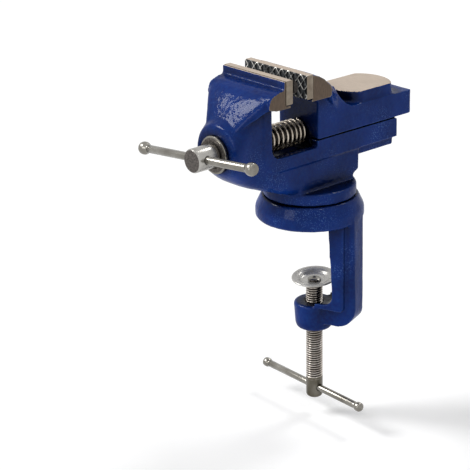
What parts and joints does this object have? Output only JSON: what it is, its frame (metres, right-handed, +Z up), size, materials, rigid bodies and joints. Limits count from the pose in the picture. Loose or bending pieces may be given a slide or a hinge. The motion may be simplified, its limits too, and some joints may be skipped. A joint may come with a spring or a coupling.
{
  "type": "swivel bench vise",
  "caption": "Clamp-on swivel bench vise with a dovetail-guided sliding rear jaw, an anvil, a sprung spindle and a C-clamp foot.",
  "frame": {"origin": "on the swivel axis, in the flange face that rests on the bench top", "axes": "+Z up along the swivel axis, -Y towards the spindle's handle, +Y towards the anvil end; the lock lever is on the -X side, and the clamp's column stands 20 degrees from +X towards +Y"},
  "size_m": [0.1131, 0.1836, 0.2467],
  "materials": {
    "enamel": "glossy royal blue enamel over rough cast iron",
    "bright_plate": "nickel-bright turned steel",
    "jaw_steel": "ground and serrated hardened steel",
    "spring_steel": "dark oiled spring wire"
  },
  "bodies": {
    "clamp_base": {"clamp_casting": "enamel"},
    "pad": {"clamp_pad": "bright_plate"},
    "screw": {"clamp_screw": "bright_plate"},
    "screw_bar": {"clamp_bar": "bright_plate", "clamp_bar_knob_left": "bright_plate", "clamp_bar_knob_right": "bright_plate"},
    "vise_body": {"body_casting": "enamel", "front_jaw_plate": "jaw_steel", "front_plate_screw_left": "jaw_steel", "front_plate_screw_right": "jaw_steel", "return_spring": "spring_steel"},
    "moving_jaw": {"sliding_jaw_casting": "enamel", "rear_jaw_plate": "jaw_steel", "rear_plate_screw_left": "jaw_steel", "rear_plate_screw_right": "jaw_steel"},
    "spindle": {"spindle": "bright_plate", "thrust_collar": "bright_plate"},
    "handle": {"handle_bar": "bright_plate", "handle_knob_left": "bright_plate", "handle_knob_right": "bright_plate"},
    "lever": {"lock_lever": "bright_plate"}
  },
  "joints": [
    {"name": "pad_slide", "type": "slide", "parent": "clamp_base", "child": "pad", "axis": [0, 0, 1], "range_m": [-0.0114, 0.04]},
    {"name": "clamp_turn", "type": "hinge", "parent": "pad", "child": "screw", "pos_m": [0.00319, 0.00116, -0.1285], "axis": [0, 0, 1], "range_deg": [-2345, 8228]},
    {"name": "clamp_bar_slide", "type": "slide", "parent": "screw", "child": "screw_bar", "axis": [0.9989, -0.0471, 0], "range_m": [-0.0361, 0.0419]},
    {"name": "swivel", "type": "hinge", "parent": "clamp_base", "child": "vise_body", "pos_m": [0, 0, 0.0168], "axis": [0, 0, 1], "continuous": true},
    {"name": "jaw_slide", "type": "slide", "parent": "vise_body", "child": "moving_jaw", "axis": [0, 1, 0], "range_m": [-0.0123, 0.0375], "deforming": ["return_spring"]},
    {"name": "spindle_turn", "type": "hinge", "parent": "vise_body", "child": "spindle", "pos_m": [0, -0.097, 0.0627], "axis": [0, 1, 0], "range_deg": [-4499, 1475]},
    {"name": "handle_slide", "type": "slide", "parent": "spindle", "child": "handle", "axis": [0.9951, 0, 0.0993], "range_m": [-0.0364, 0.0436]},
    {"name": "lock_turn", "type": "hinge", "parent": "vise_body", "child": "lever", "pos_m": [0, 0, 0.0345], "axis": [1, 0, 0], "range_deg": [-15, 95]}
  ],
  "couplings": [
    {"joint": "pad_slide", "follows": "clamp_turn", "m_per_rad": 0.00027852},
    {"joint": "jaw_slide", "follows": "spindle_turn", "m_per_rad": -0.00047746}
  ]
}
